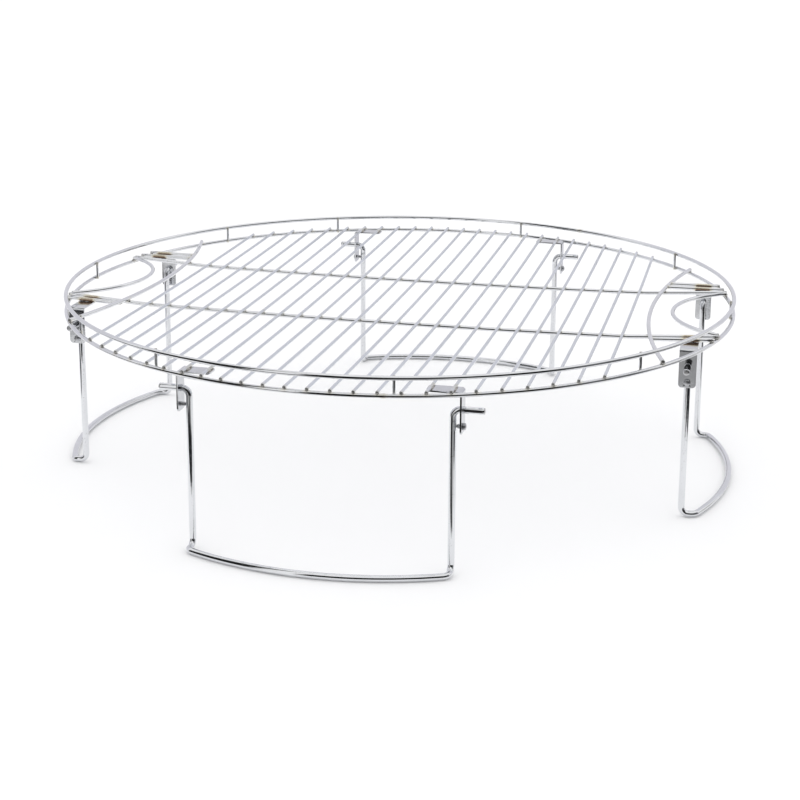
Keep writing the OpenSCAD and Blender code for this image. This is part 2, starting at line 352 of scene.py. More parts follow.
def walk(start, heading, side, steps, spacing=0.004, turn_step=6):
    """Centre line of a bent wire. Each step is (roll before it, straight run, bend radius, bend angle)."""
    p, h, s = np.array(start, float), unit(heading), unit(side)
    points = [p]
    for roll, run, bend, turn in steps:
        a = math.radians(roll)
        s = s * math.cos(a) + np.cross(h, s) * math.sin(a)
        for share in np.linspace(0, 1, max(2, int(run / spacing) + 1))[1:]:
            points.append(p + h * run * share)
        p = p + h * run
        if turn:
            centre = p + s * bend
            count = max(4, int(turn / turn_step), int(math.radians(turn) * bend / spacing))
            for i in range(1, count + 1):
                t = math.radians(turn) * i / count
                points.append(centre + bend * (h * math.sin(t) - s * math.cos(t)))
            t = math.radians(turn)
            p, h, s = points[-1], h * math.cos(t) + s * math.sin(t), s * math.cos(t) - h * math.sin(t)
    return np.array(points)


def bead(skin, centre, normal, along, half_normal, half_along, half_across, rings=7, around=12):
    """A soft lump of weld metal around a contact point, a little uneven."""
    n = unit(normal)
    a = unit(np.asarray(along) - n * (np.asarray(along) @ n))
    c = np.cross(n, a)
    phase = rng.uniform(0, 2 * math.pi, 3)
    verts = [np.asarray(centre) + n * half_normal]
    for i in range(1, rings):
        lat = math.pi * i / rings
        for k in range(around):
            t = 2 * math.pi * k / around
            swell = 1 + 0.06 * math.sin(2 * t + phase[0]) + 0.05 * math.sin(3 * t + phase[1])
            offset = n * half_normal * math.cos(lat)
            offset = offset + a * half_along * swell * math.sin(lat) * math.cos(t)
            offset = offset + c * half_across * swell * math.sin(lat) * math.sin(t)
            verts.append(np.asarray(centre) + offset)
    verts.append(np.asarray(centre) - n * half_normal)
    faces = []
    last = len(verts) - 1
    for k in range(around):
        m = (k + 1) % around
        faces.append((0, 1 + k, 1 + m))
        for i in range(rings - 2):
            b = 1 + i * around
            faces.append((b + k, b + around + k, b + around + m, b + m))
        b = 1 + (rings - 2) * around
        faces.append((b + k, last, b + m))
    uvs = [tuple((0.3, 0.3) for _ in f) for f in faces]
    skin.add(verts, faces, uvs, [0.25] * len(verts))


def lathe(skin, origin, axis, profile, around=28):
    """A turned body: profile holds (distance along the axis, radius) from one closed end to the other."""
    origin, axis = np.asarray(origin, float), unit(axis)
    side = unit(np.cross(axis, [0.3, 0.2, 1.0]))
    up = np.cross(axis, side)
    first, last = profile[0][0], profile[-1][0]
    verts, cuts = [origin + axis * first], [1.0]
    for d, r in profile[1:-1]:
        for k in range(around):
            t = 2 * math.pi * k / around
            verts.append(origin + axis * d + (side * math.cos(t) + up * math.sin(t)) * r)
            cuts.append(0.3)
    verts.append(origin + axis * last)
    cuts.append(0.6)
    faces = []
    rows = len(profile) - 2
    end = len(verts) - 1
    for k in range(around):
        m = (k + 1) % around
        faces.append((0, 1 + m, 1 + k))
        for i in range(rows - 1):
            b = 1 + i * around
            faces.append((b + k, b + m, b + around + m, b + around + k))
        b = 1 + (rows - 1) * around
        faces.append((b + k, b + m, end))
    uvs = [tuple((0.4, 0.4) for _ in f) for f in faces]
    skin.add(verts, faces, uvs, cuts)


# ---------------------------------------------------------------- materials

def shader(name):
    material = bpy.data.materials.new(name)
    material.use_nodes = True
    tree = material.node_tree
    tree.nodes.clear()
    return material, tree


def node(tree, kind, inputs=None, **settings):
    made = tree.nodes.new(kind)
    for key, value in settings.items():
        setattr(made, key, value)
    for key, value in (inputs or {}).items():
        if isinstance(value, bpy.types.NodeSocket):
            tree.links.new(value, made.inputs[key])
        else:
            made.inputs[key].default_value = value
    return made


def ramp(tree, factor, stops, interpolation="LINEAR"):
    made = node(tree, "ShaderNodeValToRGB", {"Fac": factor})
    made.color_ramp.interpolation = interpolation
    elements = made.color_ramp.elements
    while len(elements) < len(stops):
        elements.new(0.5)
    for element, (position, colour) in zip(elements, stops):
        element.position = position
        element.color = (*colour, 1) if len(colour) == 3 else colour
    return made.outputs["Color"]


def grey(v):
    return (v, v, v)


def math_node(tree, operation, a, b=0.0, clamp=False):
    made = node(tree, "ShaderNodeMath", {0: a, 1: b}, operation=operation, use_clamp=clamp)
    return made.outputs[0]


def times(tree, a, b):
    return math_node(tree, "MULTIPLY", a, b)


def plus(tree, a, b):
    return math_node(tree, "ADD", a, b)


def less(tree, a, b):
    return math_node(tree, "SUBTRACT", a, b)


def larger(tree, a, b):
    return math_node(tree, "MAXIMUM", a, b)


def smooth_step(tree, value, low, high):
    """0 below low, 1 above high."""
    made = node(tree, "ShaderNodeMapRange", {"Value": value, "From Min": low, "From Max": high},
                interpolation_type="SMOOTHSTEP")
    return made.outputs["Result"]


def noise(tree, vector, scale, detail):
    made = node(tree, "ShaderNodeTexNoise", {"Vector": vector, "Scale": scale, "Detail": detail})
    return made.outputs["Fac"]


def mixed(tree, factor, a, b, blend="MIX"):
    made = node(tree, "ShaderNodeMix", data_type="RGBA", blend_type=blend)
    for key, value in (("Factor", factor), ("A", a), ("B", b)):
        socket = [s for s in made.inputs if s.name == key and s.enabled][0]
        if isinstance(value, bpy.types.NodeSocket):
            tree.links.new(value, socket)
        else:
            socket.default_value = value if key == "Factor" else (*value, 1)
    return [s for s in made.outputs if s.enabled][0]


def relief(tree, height, strength, distance, under=None, invert=False):
    """A bumpy surface, on top of the bumps under it."""
    inputs = {"Height": height, "Strength": strength, "Distance": distance}
    if under is not None:
        inputs["Normal"] = under
    return node(tree, "ShaderNodeBump", inputs, invert=invert).outputs["Normal"]


def coat(tree, base, metallic, rough, normal):
    surface = node(tree, "ShaderNodeBsdfPrincipled",
                   {"Base Color": base, "Metallic": metallic, "Roughness": rough, "Normal": normal})
    node(tree, "ShaderNodeOutputMaterial", {"Surface": surface.outputs["BSDF"]})


# Temper colours of plated steel by how strongly it was heated, and the heat that leaves a dull scale on it
TEMPER = [
    (0.0, (1.0, 1.0, 1.0)),
    (0.22, (0.92, 0.86, 0.70)),
    (0.42, (0.37, 0.25, 0.16)),
    (0.68, (0.15, 0.085, 0.05)),
    (0.9, (0.10, 0.06, 0.045)),
    (1.0, (0.12, 0.10, 0.09)),
]
SCALE_FROM, SCALE_FULL = 0.3, 0.6

PIT_COLOUR = (0.30, 0.29, 0.28)
CUT_COLOUR = (0.24, 0.23, 0.22)
SPECK_COLOUR = (0.22, 0.21, 0.20)
WORN_EDGE_COLOUR = (0.86, 0.86, 0.87)


def plated_wire(name, colour, roughness, streak):
    """Bright plated wire: drawn lines along it, faint pits, heat tint by its welds and bare cut ends."""
    material, tree = shader(name)
    place_in = node(tree, "ShaderNodeTexCoord").outputs
    heat = node(tree, "ShaderNodeAttribute", attribute_name="scorch").outputs["Fac"]
    cut = node(tree, "ShaderNodeAttribute", attribute_name="cut").outputs["Fac"]
    stretch = node(tree, "ShaderNodeMapping", {"Vector": place_in["UV"], "Scale": (26, 9, 1)})
    lines = noise(tree, stretch.outputs[0], 3.0, 4.0)
    cloud = noise(tree, place_in["Object"], 45.0, 3.0)
    grain = noise(tree, place_in["Object"], 1400.0, 2.0)
    pits = ramp(tree, grain, [(0.66, grey(0)), (0.74, grey(1))])

    edge_noise = times(tree, less(tree, grain, 0.5), 0.35)
    warm = math_node(tree, "ADD", heat, times(tree, edge_noise, heat), clamp=True)
    shade = ramp(tree, cloud, [(0.3, [c * 0.93 for c in colour]), (0.7, colour)])
    base = mixed(tree, 1.0, shade, ramp(tree, warm, TEMPER), "MULTIPLY")
    base = mixed(tree, times(tree, pits, 0.35), base, PIT_COLOUR)
    base = mixed(tree, times(tree, cut, 0.45), base, CUT_COLOUR)
    scale = smooth_step(tree, warm, SCALE_FROM, SCALE_FULL)
    metallic = less(tree, 1.0, times(tree, scale, 0.8))

    rough = plus(tree, times(tree, lines, streak), roughness)
    rough = plus(tree, rough, times(tree, heat, 0.22))
    rough = math_node(tree, "ADD", rough, times(tree, cut, 0.28), clamp=True)

    normal = relief(tree, lines, 0.10, 0.00006)
    normal = relief(tree, cloud, 0.25, 0.0006, normal)
    normal = relief(tree, pits, 0.25, 0.00008, normal, invert=True)
    coat(tree, base, metallic, rough, normal)
    return material


def plated_sheet(name, colour, roughness):
    """Plated sheet: fine rolling lines, scuffs, faint specks and bright worn edges."""
    material, tree = shader(name)
    local = node(tree, "ShaderNodeAttribute", attribute_name="local").outputs["Vector"]
    stretch = node(tree, "ShaderNodeMapping", {"Vector": local, "Scale": (90, 90, 1400)})
    rolled = noise(tree, stretch.outputs[0], 1.0, 5.0)
    cloud = noise(tree, local, 160.0, 4.0)
    pits = node(tree, "ShaderNodeTexVoronoi", {"Vector": local, "Scale": 620.0})
    specks = ramp(tree, pits.outputs["Distance"], [(0.06, grey(1)), (0.12, grey(0))])

    rounded = node(tree, "ShaderNodeBevel", {"Radius": 0.00045}, samples=6)
    plain = node(tree, "ShaderNodeNewGeometry")
    facing = node(tree, "ShaderNodeVectorMath", {0: rounded.outputs[0], 1: plain.outputs["Normal"]},
                  operation="DOT_PRODUCT").outputs["Value"]
    edge = ramp(tree, facing, [(0.90, grey(1)), (0.995, grey(0))])

    base = ramp(tree, cloud, [(0.3, [c * 0.90 for c in colour]), (0.72, colour)])
    base = mixed(tree, times(tree, specks, 0.30), base, SPECK_COLOUR)
    base = mixed(tree, times(tree, edge, 0.5), base, WORN_EDGE_COLOUR)
    rough = plus(tree, times(tree, rolled, 0.10), roughness)
    normal = relief(tree, rolled, 0.12, 0.00004)
    normal = relief(tree, cloud, 0.3, 0.00015, normal)
    coat(tree, base, 1.0, rough, normal)
    return material


def weld_metal(name):
    """Grey, slightly scaled metal squeezed out of a spot weld, plated over."""
    material, tree = shader(name)
    scale = noise(tree, node(tree, "ShaderNodeTexCoord").outputs["Object"], 1800.0, 3.0)
    base = ramp(tree, scale,
                [(0.32, (0.34, 0.31, 0.27)), (0.5, (0.60, 0.59, 0.57)), (0.7, (0.78, 0.78, 0.79))])
    rough = ramp(tree, scale, [(0.3, grey(0.42)), (0.7, grey(0.2))])
    coat(tree, base, 1.0, rough, relief(tree, scale, 0.4, 0.0001))
    return material


def finish_colour(slot):
    return [m["base_color"][:3] for m in frame["record"]["materials"] if m["slot"] == slot][0]


RIM_METAL = plated_wire("plated_rim_wire", finish_colour("rim_wire"), 0.035, 0.10)
GRID_METAL = plated_wire("plated_grid_wire", finish_colour("grid_wire"), 0.10, 0.14)
LEG_METAL = plated_wire("plated_leg_wire", finish_colour("leg_wire"), 0.03, 0.08)
WELD_METAL = weld_metal("weld_metal")
RIVET_METAL = plated_wire("worn_rivet", finish_colour("rivet_steel"), 0.22, 0.10)
PLATE_METAL = plated_sheet("plated_bracket_sheet", finish_colour("bracket_plate"), 0.05)


# ---------------------------------------------------------------- where the welds are

def mirrored(points, in_y=False):
    """The points with their mirror images across the middle plane at x = 0, and across y = 0 if in_y."""
    for x, y, z in points:
        for sx in (1, -1):
            for sy in ((1, -1) if in_y else (1,)):
                yield (sx * x, sy * y, z)


BAR_XS = [i * BAR_PITCH for i in range(-BAR_SIDE_COUNT, BAR_SIDE_COUNT + 1)]
RING_TOP = LOWER_Z + RIM_R
ring_bar_welds = [(x, s * math.sqrt(RACK_R ** 2 - x ** 2), RING_TOP) for x in BAR_XS for s in (-1, 1)]
cross_bar_welds = [(x, s * CROSS_Y, bar_z(x, CROSS_Y) - BAR_R) for x in BAR_XS for s in (-1, 1)]
cross_ring_x = math.sqrt(RACK_R ** 2 - CROSS_Y ** 2)
cross_ring_welds = list(mirrored([(cross_ring_x, CROSS_Y, RING_TOP)], in_y=True))
arc_ring_welds = list(mirrored([(ARC_END_X, ARC_END_Y, RING_TOP)], in_y=True))
arc_cross_welds = list(mirrored([(ARC_CROSS_X, CROSS_Y, cross_z(ARC_CROSS_X) + RIM_R)], in_y=True))
loop_ring_welds = list(mirrored([(LOOP_END_X - 0.0006, LOOP_END_Y - 0.0004, RING_TOP)], in_y=True))
short_ys = SHORT_YS["front"] + SHORT_YS["back"]
short_arc_welds = list(mirrored([(short_ends(y)[0][0], y, short_ends(y)[0][1]) for y in short_ys]))
short_ring_welds = list(mirrored([(math.sqrt(RACK_R ** 2 - y ** 2), y, RING_TOP) for y in short_ys]))

light_welds = (ring_bar_welds + cross_bar_welds + cross_ring_welds + arc_ring_welds + arc_cross_welds
               + loop_ring_welds + short_arc_welds + short_ring_welds)

# The flange welds: the undersides of the grid bars over the front and back brackets' flanges, and of the
# front cross bar and the short bars over those of the side brackets
end_flange_welds = [(x, s * HINGE_R, bar_z(x, HINGE_R) - BAR_R)
                    for x in BAR_XS if FLANGE_END < abs(x) < PLATE_IN for s in (-1, 1)]
side_flange_welds = []
for s in (-1, 1):
    side_flange_welds.append((s * HINGE_R, -CROSS_Y, cross_z(HINGE_R) - RIM_R))
    side_flange_welds += [(s * HINGE_R, y, short_z(HINGE_R, y) - RIM_R) for y in short_ys]

# Heat marks, as (place, reach, strength): faint at the light welds, and a brown streak along each flange weld
LIGHT_REACH, LIGHT_STRENGTH = 0.0020, 0.20
POST_HEAT_REACH, POST_HEAT_STRENGTH = 0.0016, 0.25
SIDE_REACH, SIDE_STRENGTH = 0.0025, 0.95
END_REACH, END_STRENGTH = 0.0018, 0.55 * SIDE_STRENGTH
STREAK_LENGTH, STREAK_SPOTS = 0.0075, 5
HOT = [(p, LIGHT_REACH, LIGHT_STRENGTH) for p in light_welds]
for shift in np.linspace(-STREAK_LENGTH / 2, STREAK_LENGTH / 2, STREAK_SPOTS):
    HOT += [((x + shift, y, z), SIDE_REACH, SIDE_STRENGTH) for x, y, z in side_flange_welds]
    HOT += [((x, y + shift, z), END_REACH, END_STRENGTH) for x, y, z in end_flange_welds]


# ---------------------------------------------------------------- the rack's wires

def circle_points(radius, z, spacing=0.0016):
    count = int(2 * math.pi * radius / spacing)
    return np.array([(radius * math.cos(t), radius * math.sin(t), z)
                     for t in np.arange(count) * 2 * math.pi / count])


# A ring's closing weld: the collar that is pushed up at the joint, and the slight necks on both sides of it
COLLAR_HEIGHT, COLLAR_WIDTH = 0.00022, 0.0011
NECK_DEPTH, NECK_WIDTH, NECK_AT = 0.00006, 0.0016, 0.0042
SEAM_REACH, SEAM_STRENGTH = 0.0025, 0.22


def closed_ring(name, cad_node, z, weld_angle):
    """A ring whose closing butt weld shows as a small upset collar."""
    points = circle_points(RACK_R, z)
    angles = np.degrees(np.arctan2(points[:, 1], points[:, 0]))
    off = np.radians((angles - weld_angle + 180) % 360 - 180) * RACK_R
    collar = COLLAR_HEIGHT * np.exp(-(off / COLLAR_WIDTH) ** 2)
    neck = NECK_DEPTH * np.exp(-((np.abs(off) - NECK_AT) / NECK_WIDTH) ** 2)
    skin = Skin()
    tube(skin, points, RIM_R + collar - neck, around=24, closed=True)
    t = math.radians(weld_angle)
    seam = [((RACK_R * math.cos(t), RACK_R * math.sin(t), z), SEAM_REACH, SEAM_STRENGTH)]
    return skin.build(name, "rack", RIM_METAL, [cad_node], HOT + seam)


def arc_wire(skin, centre_x, radius, half_angle, z, tip=0.0, pivot_x=0.0, mirror=1, spacing=0.0015):
    """A wire that bows towards the middle, as an arc about a centre out past the rim."""
    count = int(2 * half_angle * radius / spacing)
    points = []
    for a in np.linspace(math.pi - half_angle, math.pi + half_angle, count):
        x, y = centre_x + radius * math.cos(a), radius * math.sin(a)
        drop = (pivot_x - x) * math.tan(tip)
        points.append((mirror * x, y, z - drop))
    tube(skin, points, RIM_R, around=22)


def grid():
    """The grid bars. Each is slightly off in length and in line."""
    skin = Skin()
    for x in BAR_XS:
        half = bar_half(x) + rng.uniform(-0.0003, 0.0001)
        drift = rng.normal(0, 0.00012, 2)
        dense = [-HINGE_R, HINGE_R, -CROSS_Y, CROSS_Y, -half + END_OVER, half - END_OVER]
        ys = stations(-half, half, 0.005, dense)
        shift = [drift[0] * y / half + drift[1] * (1 - (y / half) ** 2) for y in ys]
        tube(skin, [(x + d, y, bar_z(x, y)) for y, d in zip(ys, shift)], BAR_R, around=18)
    return skin.build("grid_bar_wires", "rack", GRID_METAL, ["grid_bars"], HOT)


def cross_bar(name, cad_node, side):
    """From one end on the ring down to a knee, along the hanging arc, and up from a knee to the other end."""
    end_line = math.hypot(CROSS_END_X - CORNER_X, WIRE_SEAT_Z - CORNER_Z)
    setback = KNEE_BEND * math.tan((END_A - KNEE_A) / 2)
    turn = math.degrees(END_A - KNEE_A)
    steps = [
        (0, end_line - setback, KNEE_BEND, turn),
        (0, KNEE_LEAD - setback, SAG_R, 2 * math.degrees(KNEE_A)),
        (0, KNEE_LEAD - setback, KNEE_BEND, turn),
        (0, end_line - setback, 0, 0),
    ]
    start = (-CROSS_END_X, side * CROSS_Y, WIRE_SEAT_Z)
    heading = (math.cos(END_A), 0, -math.sin(END_A))
    up = (math.sin(END_A), 0, math.cos(END_A))
    skin = Skin()
    tube(skin, walk(start, heading, up, steps, spacing=0.0015), RIM_R, around=22)
    return skin.build(name, "rack", RIM_METAL, [cad_node], HOT)


def side_arc(name, cad_node, mirror):
    skin = Skin()
    half_angle = math.asin((ARC_END_Y + END_OVER) / ARC_R)
    arc_wire(skin, ARC_END_X - ARC_BOW + ARC_R, ARC_R, half_angle, WIRE_SEAT_Z, ARC_TIP, ARC_END_X, mirror)
    return skin.build(name, "rack", RIM_METAL, [cad_node], HOT)


def hand_loop(name, cad_node, mirror):
    skin = Skin()
    half_angle = math.asin(LOOP_END_Y / LOOP_R)
    arc_wire(skin, loop_low.x + RIM_R + LOOP_R, LOOP_R, half_angle, WIRE_SEAT_Z, mirror=mirror)
    return skin.build(name, "rack", RIM_METAL, [cad_node], HOT)


def short_bars(name, cad_node, side, mirror):
    skin = Skin()
    for y in SHORT_YS[side]:
        inner, outer = short_ends(y)
        share = np.linspace(0, 1, 40)[:, None]
        ends = np.array([(mirror * inner[0], y, inner[1]), (mirror * outer[0], y, outer[1])])
        tube(skin, ends[0] + share * (ends[1] - ends[0]), RIM_R, around=22, tips=(False, True))
    return skin.build(name, "rack", RIM_METAL, [cad_node], HOT)


def posts():
    low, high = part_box("rail_posts")
    reach = RACK_R - RIM_R - POST_R + WELD_SINK
    skin = Skin()
    hot = []
    for angle in POST_ANGLES:
        t = math.radians(angle)
        x, y = reach * math.cos(t), reach * math.sin(t)
        zs = np.linspace(low.z, high.z, 12)
        tube(skin, [(x, y, z) for z in zs], POST_R, around=18)
        hot += [((x, y, z), POST_HEAT_REACH, POST_HEAT_STRENGTH) for z in (LOWER_Z, UPPER_Z)]
    return skin.build("rail_post_wires", "rack", RIM_METAL, ["rail_posts"], hot)


# ---------------------------------------------------------------- weld metal

UP = (0, 0, 1)
ALONG_X = (1, 0, 0)
ALONG_Y = (0, 1, 0)


def weld_beads():
    """The light welds. A bead's three sizes are half its height, half its length and half its width."""
    skin = Skin()
    for p in ring_bar_welds:
        bead(skin, p, UP, ALONG_Y, 0.0007, 0.0015, 0.00125)
    for p in cross_bar_welds:
        bead(skin, p, UP, ALONG_Y, 0.0006, 0.00145, 0.00125)
    for p in cross_ring_welds + short_ring_welds + short_arc_welds:
        bead(skin, p, UP, ALONG_X, 0.0008, 0.0019, 0.0016)
    for p in arc_ring_welds + arc_cross_welds + loop_ring_welds:
        bead(skin, p, UP, ALONG_X, 0.0008, 0.0018, 0.0018)
    for angle in POST_ANGLES:
        t = math.radians(angle)
        out = (math.cos(t), math.sin(t), 0)
        for z in (LOWER_Z, UPPER_Z):
            spot = ((RACK_R - RIM_R) * out[0], (RACK_R - RIM_R) * out[1], z)
            bead(skin, spot, out, UP, 0.0006, 0.0013, 0.0012)
    return skin.build("weld_beads", "rack", WELD_METAL)


def flange_beads():
    skin = Skin()
    for welds, along in ((end_flange_welds, ALONG_Y), (side_flange_welds, ALONG_X)):
        for x, y, z in welds:
            bead(skin, (x, y, z + 0.0001), UP, along, 0.0005, 0.0028, 0.0013)
    return skin.build("flange_weld_beads", "rack", WELD_METAL)


# ---------------------------------------------------------------- brackets, rivets and legs

def turned(points, angle):
    t = math.radians(angle)
    c, s = math.cos(t), math.sin(t)
    points = np.asarray(points, float)
    x, y, z = points.T
    return np.column_stack([x * c - y * s, x * s + y * c, z])


def bracket(cad_node, side):
    """The bracket with its sheared edges and hole rims broken, and its own coordinates for the finish."""
    name = cad_node + "_plate"
    mesh = frame["nodes"][cad_node].data.copy()
    mesh.name = name
    mesh.materials.clear()
    work = bmesh.new()
    work.from_mesh(mesh)
    bmesh.ops.remove_doubles(work, verts=work.verts, dist=0.000002)
    bmesh.ops.dissolve_limit(work, angle_limit=math.radians(1), verts=work.verts, edges=work.edges)
    sharp = [e for e in work.edges if len(e.link_faces) == 2 and e.calc_face_angle() > math.radians(45)]
    bmesh.ops.bevel(work, geom=sharp, offset=0.00016, offset_type="OFFSET", segments=2, profile=0.5,
                    affect="EDGES", clamp_overlap=True)
    bmesh.ops.triangulate(work, faces=work.faces)
    work.to_mesh(mesh)
    work.free()
    co = np.array([v.co for v in mesh.vertices])
    local = turned(co, -SIDES[side])
    local = np.column_stack([local[:, 0], np.abs(local[:, 1]), local[:, 2]])
    attribute = mesh.attributes.new("local", "FLOAT_VECTOR", "POINT")
    attribute.data.foreach_set("vector", local.astype(np.float32).ravel())
    mesh.polygons.foreach_set("use_smooth", [True] * len(mesh.polygons))
    mesh.materials.append(PLATE_METAL)
    obj = place(bpy.data.objects.new(name, mesh), "rack", [cad_node])
    obj.modifiers.new("even_normals", "WEIGHTED_NORMAL").keep_sharp = True
    return obj


def rivets(side):
    """Two stop rivets: a tapered tip by the leg, a shank through the plate and a domed head outside."""
    skin = Skin()
    dome = [(PLATE_OUT + RIVET_HEAD_H * (0.45 + 0.55 * math.sin(a)), RIVET_HEAD_R * math.cos(a))
            for a in np.radians(np.linspace(0, 80, 8))]
    profile = [(RIVET_TIP, 0), (RIVET_TIP, 0.5 * RIVET_R), (RIVET_TIP + 0.0001, 0.62 * RIVET_R),
               (RIVET_TIP + 0.0008, 0.97 * RIVET_R), (RIVET_TIP + 0.0010, RIVET_R), (PLATE_OUT, RIVET_R),
               (PLATE_OUT, 0.96 * RIVET_HEAD_R), (PLATE_OUT + 0.00012, RIVET_HEAD_R)]
    profile += dome + [(PLATE_OUT + RIVET_HEAD_H, 0)]
    for s in (-1, 1):
        origin = turned([(HINGE_R, 0, RIVET_Z)], SIDES[side])[0]
        axis = turned([(0, s, 0)], SIDES[side])[0]
        lathe(skin, origin, axis, profile)
    return skin.build(side + "_rivet_pair", "rack", RIVET_METAL, [side + "_stop_rivets"])


def leg(side):
    """One bent wire. Its bends are a little flattened and carry the marks of the bending tool."""
    toe_reach = math.hypot(FOOT_R - TOE_BEND, TOE_RUN)
    foot_half = math.asin((LEG_HALF - TOE_BEND) / toe_reach) - math.atan2(TOE_RUN, FOOT_R - TOE_BEND)
    toe_out = (FOOT_REACH - FOOT_R + (FOOT_R - TOE_BEND) * math.cos(foot_half)
               - TOE_RUN * math.sin(foot_half) - HINGE_R - LEG_BEND)
    upright = HINGE_Z - FOOT_Z - 2 * LEG_BEND
    pin_run = PIN_REACH - LEG_HALF - LEG_BEND
    toe_turn = 90 - math.degrees(foot_half)
    steps = [
        (0, pin_run, LEG_BEND, 90),
        (90, upright, LEG_BEND, 90),
        (90, toe_out, TOE_BEND, toe_turn),
        (0, TOE_RUN, FOOT_R, 2 * math.degrees(foot_half)),
        (0, TOE_RUN, TOE_BEND, toe_turn),
        (-90, toe_out, LEG_BEND, 90),
        (-90, upright, LEG_BEND, 90),
        (0, pin_run, 0, 0),
    ]
    points = walk((HINGE_R, PIN_REACH, HINGE_Z), (0, -1, 0), (0, 0, -1), steps, spacing=0.0022, turn_step=7)
    before = np.roll(points, 1, axis=0)
    after = np.roll(points, -1, axis=0)
    bent = np.linalg.norm(after - 2 * points + before, axis=1)
    bent[[0, -1]] = 0
    fully_bent = 0.00008
    sharpness = np.clip(bent / fully_bent, 0, 1)
    marks = np.abs(np.diff(sharpness, append=0))
    radii = LEG_R * (1 - 0.012 * sharpness - 0.02 * marks)
    radii[:3] = LEG_R
    radii[-3:] = LEG_R
    skin = Skin()
    tube(skin, turned(points, SIDES[side]), radii, around=28)
    return skin.build(side + "_leg_wire", side + "_leg_body", LEG_METAL, [side + "_leg"])


closed_ring("lower_ring_wire", "lower_ring", LOWER_Z, LOWER_WELD_ANGLE)
closed_ring("upper_ring_wire", "upper_ring", UPPER_Z, UPPER_WELD_ANGLE)
posts()
grid()
cross_bar("front_cross_wire", "front_cross_bar", -1)
cross_bar("back_cross_wire", "back_cross_bar", 1)
for hand, sign in (("left", -1), ("right", 1)):
    side_arc(hand + "_side_arc_wire", hand + "_side_arc", sign)
    hand_loop(hand + "_hand_loop_wire", hand + "_hand_loop", sign)
    short_bars(hand + "_front_short_wire", hand + "_front_short_bar", "front", sign)
    short_bars(hand + "_back_short_wires", hand + "_back_short_bars", "back", sign)
weld_beads()
flange_beads()

for sides, ends in ((("front", "back"), ("left", "right")), (("left", "right"), ("front", "back"))):
    for side in sides:
        for end in ends:
            bracket(side + "_bracket_" + end, side)
for side in SIDES:
    rivets(side)
    leg(side)


# ---------------------------------------------------------------- camera, light and floor

# The camera's place, seen from the middle of the lower ring, and its lens
CAMERA_AZIMUTH = math.radians(13.29)
CAMERA_ELEVATION = math.radians(14.19)
CAMERA_ROLL = math.radians(0.34)
CAMERA_DISTANCE = 5.025 * RACK_R
CAMERA_LENS = 73.98
CAMERA_SHIFT = (0.0, -0.1290)


def camera():
    ce, se = math.cos(CAMERA_ELEVATION), math.sin(CAMERA_ELEVATION)
    ca, sa = math.cos(CAMERA_AZIMUTH), math.sin(CAMERA_AZIMUTH)
    back = Vector((sa * ce, -ca * ce, se))
    level = (-back).cross(Vector((0, 0, 1))).normalized()
    up = level.cross(-back)
    right = level * math.cos(CAMERA_ROLL) + up * math.sin(CAMERA_ROLL)
    up = up * math.cos(CAMERA_ROLL) - level * math.sin(CAMERA_ROLL)
    data = bpy.data.cameras.new("camera")
    data.lens = CAMERA_LENS
    data.sensor_width = 36
    data.shift_x, data.shift_y = CAMERA_SHIFT
    data.clip_start = 0.01
    data.clip_end = 100
    obj = bpy.data.objects.new("camera", data)
    spot = Vector((0, 0, LOWER_Z)) + back * CAMERA_DISTANCE
    obj.matrix_world = Matrix.Translation(spot) @ Matrix((right, up, back)).transposed().to_4x4()
    bpy.context.scene.collection.objects.link(obj)
    bpy.context.scene.camera = obj


# The studio as the bright wires show it. Its walls are ramps around the rack: degrees from the camera's side,
# growing towards the right of the picture. Heights on the walls are sines of the elevation.
DARK, DIM, PALE, WHITE = grey(0.015), (0.16, 0.16, 0.17), (0.765, 0.76, 0.807), grey(1.0)
WALL_COLOURS = [
    (-180, PALE), (-112, PALE), (-94, WHITE), (-86, DARK), (-52, DARK), (-47, WHITE), (-34, WHITE),
    (-30, DARK), (50, DARK), (60, DIM), (84, DIM), (98, WHITE), (122, WHITE), (132, PALE), (180, PALE),
]
TALL_WALL = [(-96, grey(0)), (-86, grey(1)), (-58, grey(1)), (-50, grey(0))]
LINED_WALL = [(92, grey(0)), (97, grey(1)), (118, grey(1)), (126, grey(0))]
WALL_TOP = (0.60, 0.72)
TALL_WALL_TOP = (0.88, 0.96)
LINE_TOP = (0.08, 0.16)
LINE_COLOUR = grey(0.04)


def around_studio(tree, x, y, stops):
    """What a ramp around the studio, with stops in degrees, holds in the direction (x, y)."""
    heading = less(tree, math_node(tree, "ARCTAN2", x, times(tree, y, -1)), CAMERA_AZIMUTH)
    turn = math_node(tree, "DIVIDE", heading, 2 * math.pi)
    turn = math_node(tree, "FRACT", plus(tree, turn, 1.5))
    return ramp(tree, turn, [(degrees / 360 + 0.5, colour) for degrees, colour in stops])


